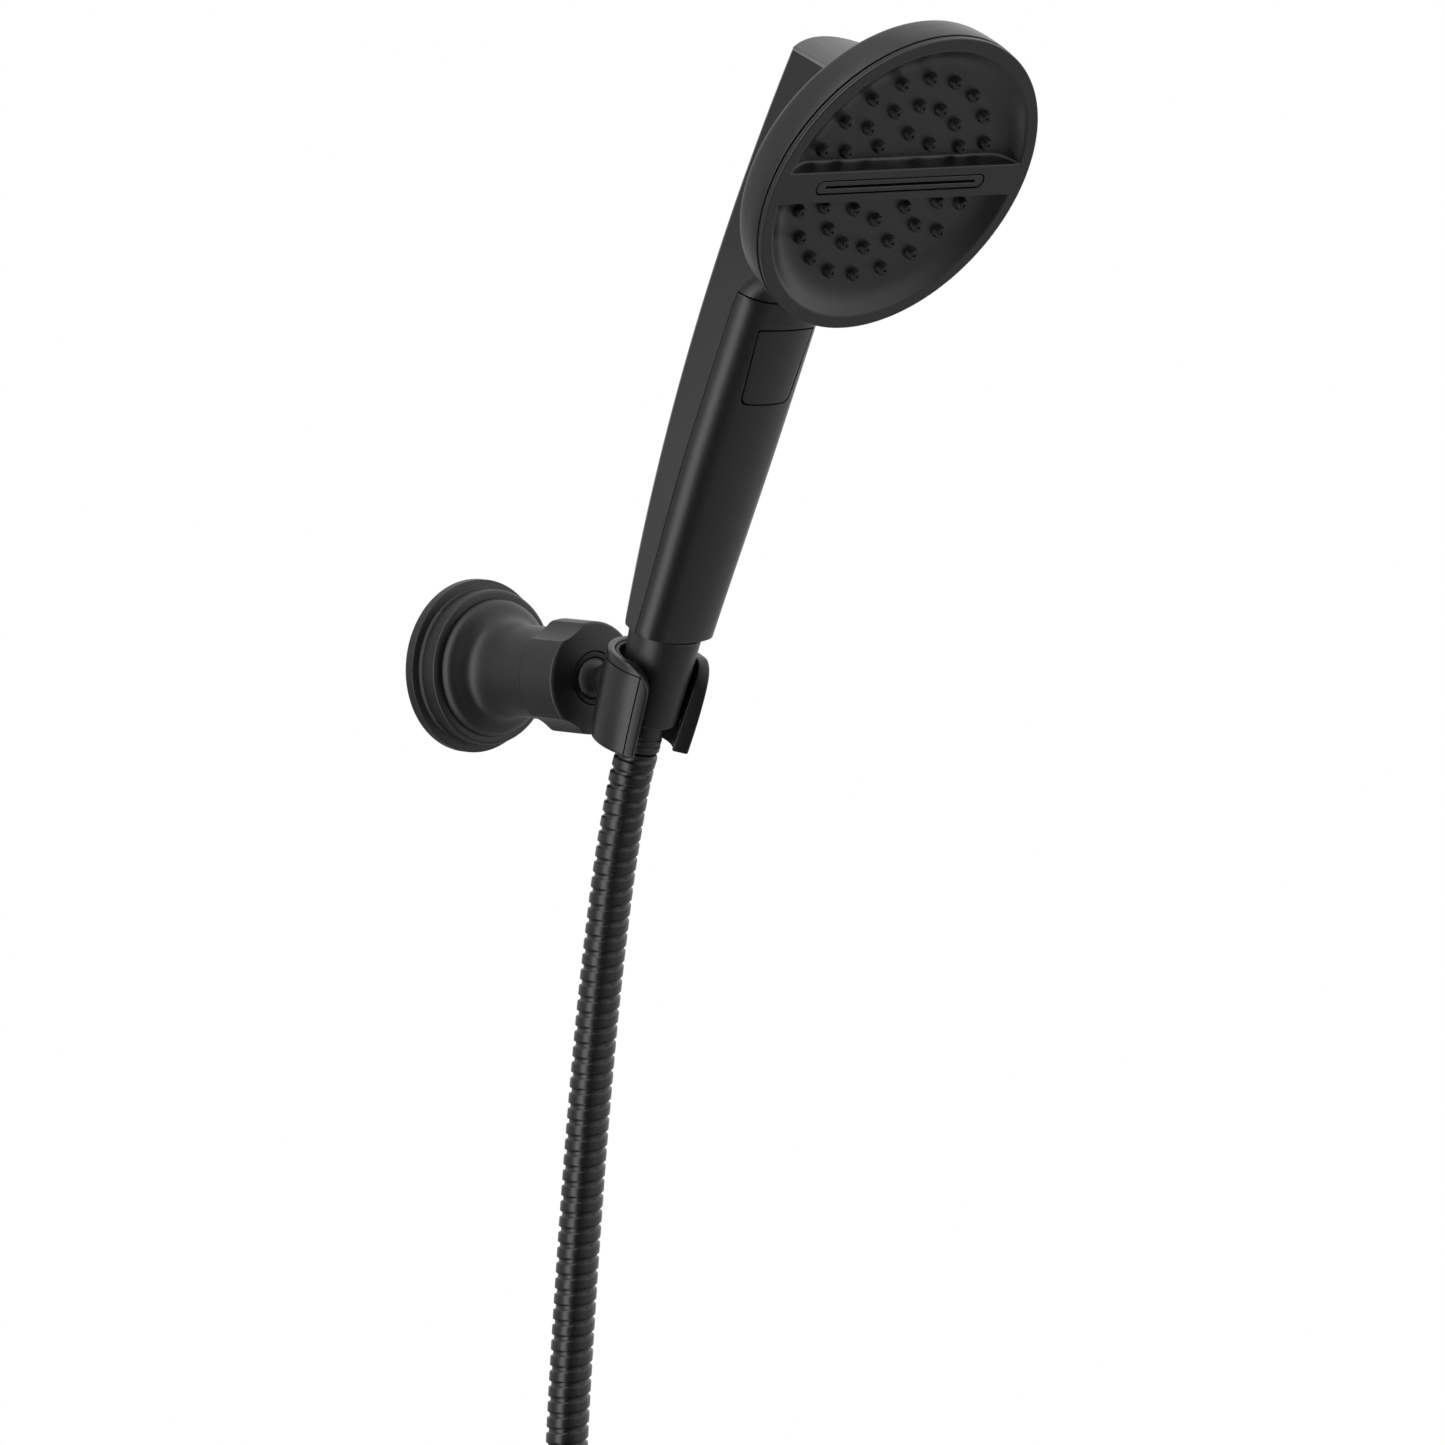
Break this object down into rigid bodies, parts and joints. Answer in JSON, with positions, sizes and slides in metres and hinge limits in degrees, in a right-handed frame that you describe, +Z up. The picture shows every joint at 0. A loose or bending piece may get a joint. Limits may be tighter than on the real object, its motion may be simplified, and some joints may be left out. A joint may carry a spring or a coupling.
{
  "type": "handheld shower head",
  "caption": "Handheld shower with a round two-zone spray face and push button, in a swivelling wall bracket with a spiral hose.",
  "frame": {"origin": "centre of the bracket's wall face", "axes": "+Y into the wall, +Z up, +X to the right seen from the room"},
  "size_m": [0.1084, 0.2363, 0.6541],
  "materials": {
    "black_paint": "satin black",
    "metal_black": "matte black coating",
    "hose_metal": "matte black spiral-wound metal",
    "steel": "bright",
    "brass": "machined",
    "rubber": "matte",
    "inner_plastic": "moulded",
    "pale_plastic": "moulded"
  },
  "bodies": {
    "bracket": {"wall_plate": "steel", "mount_post": "steel", "wall_gasket": "rubber", "flange_cover": "metal_black", "set_screw": "steel", "wave_washer": "steel", "ball_socket": "pale_plastic", "friction_ring": "rubber"},
    "clamp": {"clamp_nut": "metal_black"},
    "ball": {"swivel_ball": "metal_black"},
    "stud": {"ball_stud": "metal_black"},
    "cradle": {"cradle_clip": "black_paint", "cradle_liner": "rubber", "stud_screw": "steel"},
    "hose_end": {"cone_nut": "metal_black", "hose_nipple": "brass", "hose_washer": "rubber", "hose_ferrule": "metal_black", "hose": "hose_metal", "hose_coil": "hose_metal", "hose_tail": "hose_metal", "hose_tie": "rubber", "end_nut": "metal_black", "end_washer": "rubber"},
    "handset": {"inlet_spigot": "inner_plastic", "inlet_screen": "steel", "rear_shell": "black_paint", "handle_panel": "black_paint", "valve_body": "inner_plastic", "button_spring": "steel", "supply_tube": "inner_plastic", "head_tube": "inner_plastic", "head_housing": "black_paint", "trim_ring": "black_paint", "spray_face": "black_paint", "nozzle_mat_upper": "rubber", "nozzle_mat_lower": "rubber", "slot_nozzle": "black_paint", "flow_plate": "inner_plastic", "head_seal": "rubber"},
    "button": {"mode_button": "black_paint"},
    "valve": {"valve_spool": "pale_plastic"}
  },
  "joints": [
    {"name": "clamp_turn", "type": "hinge", "parent": "bracket", "child": "clamp", "pos_m": [0, -0.05, 0], "axis": [0, 1, 0], "range_deg": [0, 180]},
    {"name": "swivel_pan", "type": "hinge", "parent": "bracket", "child": "ball", "pos_m": [0, -0.0582, 0], "axis": [0, 0, 1], "range_deg": [-12, 12]},
    {"name": "swivel_tilt", "type": "hinge", "parent": "ball", "child": "stud", "pos_m": [0, -0.0582, 0], "axis": [1, 0, 0], "range_deg": [-12, 12]},
    {"name": "swivel_roll", "type": "hinge", "parent": "stud", "child": "cradle", "pos_m": [0, -0.0582, 0], "axis": [0, 1, 0], "range_deg": [-25, 25]},
    {"name": "lift_out", "type": "slide", "parent": "cradle", "child": "hose_end", "axis": [0, -0.3322, 0.9432], "range_m": [0, 0.06]},
    {"name": "handset_turn", "type": "hinge", "parent": "hose_end", "child": "handset", "pos_m": [0, -0.09107, 0], "axis": [0, -0.3322, 0.9432], "range_deg": [-90, 90]},
    {"name": "button_press", "type": "slide", "parent": "handset", "child": "button", "axis": [0, 0.9048, 0.4258], "range_m": [0, 0.0015], "stiffness_N_per_m": 900, "springref_m": -0.001},
    {"name": "valve_shift", "type": "slide", "parent": "handset", "child": "valve", "axis": [0, 0.9048, 0.4258], "range_m": [0, 0.0015]}
  ],
  "couplings": [
    {"joint": "valve_shift", "follows": "button_press", "ratio": 1}
  ]
}
